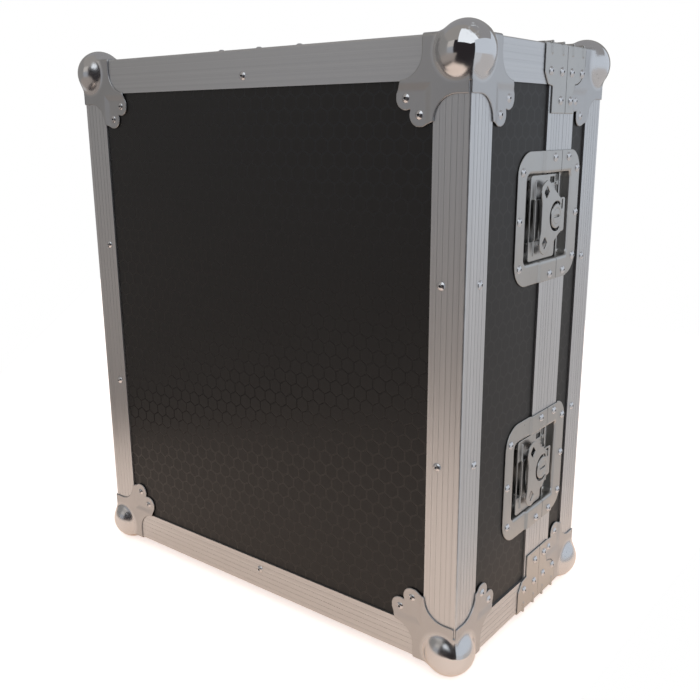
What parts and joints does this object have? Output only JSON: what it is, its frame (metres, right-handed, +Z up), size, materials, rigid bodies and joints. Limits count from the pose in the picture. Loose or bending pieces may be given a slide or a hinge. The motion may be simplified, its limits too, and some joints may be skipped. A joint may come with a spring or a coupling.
{
  "type": "flight case",
  "caption": "Panelled flight case with riveted edge extrusions, ball corners, a hinged lid, recessed butterfly latches and a recessed spring handle.",
  "frame": {"origin": "middle of the case's box on the floor under the ball corners, as it stands on its short edge", "axes": "+X towards the latch side, +Y from the base to the lid, +Z up"},
  "size_m": [0.444, 0.2404, 0.503],
  "materials": {
    "panels": "plywood faced with a black hexagon-patterned film, satin",
    "extrusions": "natural anodised, finely ribbed",
    "ball_corners": "pressed steel, plated, polished on the ball and satin on the leaves",
    "braces": "pressed steel, zinc plated, satin",
    "rivets": "bright",
    "latch_steel": "pressed steel, zinc plated, satin",
    "hinges": "zinc plated, satin",
    "springs": "spring steel",
    "grip_rubber": "matt, ribbed",
    "lining": "closed-cell foam, charcoal, matt"
  },
  "bodies": {
    "base": {"base_big_panel": "panels", "base_top_panel": "panels", "base_bottom_panel": "panels", "base_latch_side_panel": "panels", "base_hinge_side_panel": "panels", "base_upright_edges": "extrusions", "base_cross_edges": "extrusions", "base_depth_edges": "extrusions", "base_upright_tongues": "extrusions", "base_cross_tongues": "extrusions", "base_ball_top_latch": "ball_corners", "base_ball_top_hinge": "ball_corners", "base_ball_bottom_latch": "ball_corners", "base_ball_bottom_hinge": "ball_corners", "base_braces": "braces", "base_edge_rivets": "rivets", "base_corner_rivets": "rivets", "base_floor_foam": "lining", "base_wall_foam": "lining", "handle_dish": "latch_steel", "handle_springs": "springs", "handle_rivets": "rivets", "upper_latch_dish": "latch_steel", "upper_latch_carrier": "latch_steel", "lower_latch_dish": "latch_steel", "lower_latch_carrier": "latch_steel", "base_latch_rivets": "rivets", "hinge_base_leaves": "hinges", "hinge_pins": "rivets"},
    "lid": {"lid_big_panel": "panels", "lid_top_panel": "panels", "lid_bottom_panel": "panels", "lid_latch_side_panel": "panels", "lid_hinge_side_panel": "panels", "lid_upright_edges": "extrusions", "lid_cross_edges": "extrusions", "lid_depth_edges": "extrusions", "lid_upright_grooves": "extrusions", "lid_cross_grooves": "extrusions", "lid_ball_top_latch": "ball_corners", "lid_ball_top_hinge": "ball_corners", "lid_ball_bottom_latch": "ball_corners", "lid_ball_bottom_hinge": "ball_corners", "lid_braces": "braces", "lid_rivets": "rivets", "lid_foam": "lining", "upper_latch_lid_dish": "latch_steel", "lower_latch_lid_dish": "latch_steel", "hinge_lid_leaves": "hinges"},
    "handle": {"handle_bail": "latch_steel", "handle_grip": "grip_rubber"},
    "upper_hub": {"upper_latch_hub": "latch_steel", "upper_latch_pin": "latch_steel"},
    "upper_hook": {"upper_latch_hook": "latch_steel"},
    "upper_wing": {"upper_latch_wing": "latch_steel"},
    "lower_hub": {"lower_latch_hub": "latch_steel", "lower_latch_pin": "latch_steel"},
    "lower_hook": {"lower_latch_hook": "latch_steel"},
    "lower_wing": {"lower_latch_wing": "latch_steel"}
  },
  "joints": [
    {"name": "lid_open", "type": "hinge", "parent": "base", "child": "lid", "pos_m": [-0.2165, 0.03625, 0.2515], "axis": [0, 0, 1], "range_deg": [0, 100]},
    {"name": "handle_lift", "type": "hinge", "parent": "base", "child": "handle", "pos_m": [0, -0.06375, 0.4845], "axis": [1, 0, 0], "range_deg": [0, 90], "stiffness_Nm_per_rad": 0.12},
    {"name": "upper_latch_turn", "type": "hinge", "parent": "base", "child": "upper_hub", "pos_m": [0.2125, 0.02725, 0.3615], "axis": [1, 0, 0], "range_deg": [0, 180]},
    {"name": "upper_hook_slide", "type": "slide", "parent": "base", "child": "upper_hook", "axis": [0, 1, 0], "range_m": [0, 0.006]},
    {"name": "upper_wing_fold", "type": "hinge", "parent": "upper_hub", "child": "upper_wing", "pos_m": [0.2145, 0.03455, 0.3615], "axis": [0, 0, 1], "range_deg": [0, 90]},
    {"name": "lower_latch_turn", "type": "hinge", "parent": "base", "child": "lower_hub", "pos_m": [0.2125, 0.02725, 0.1415], "axis": [1, 0, 0], "range_deg": [0, 180]},
    {"name": "lower_hook_slide", "type": "slide", "parent": "base", "child": "lower_hook", "axis": [0, 1, 0], "range_m": [0, 0.006]},
    {"name": "lower_wing_fold", "type": "hinge", "parent": "lower_hub", "child": "lower_wing", "pos_m": [0.2145, 0.03455, 0.1415], "axis": [0, 0, 1], "range_deg": [0, 90]}
  ],
  "couplings": [
    {"joint": "upper_hook_slide", "follows": "upper_latch_turn", "m_per_rad": 0.0019099},
    {"joint": "lower_hook_slide", "follows": "lower_latch_turn", "m_per_rad": 0.0019099}
  ]
}
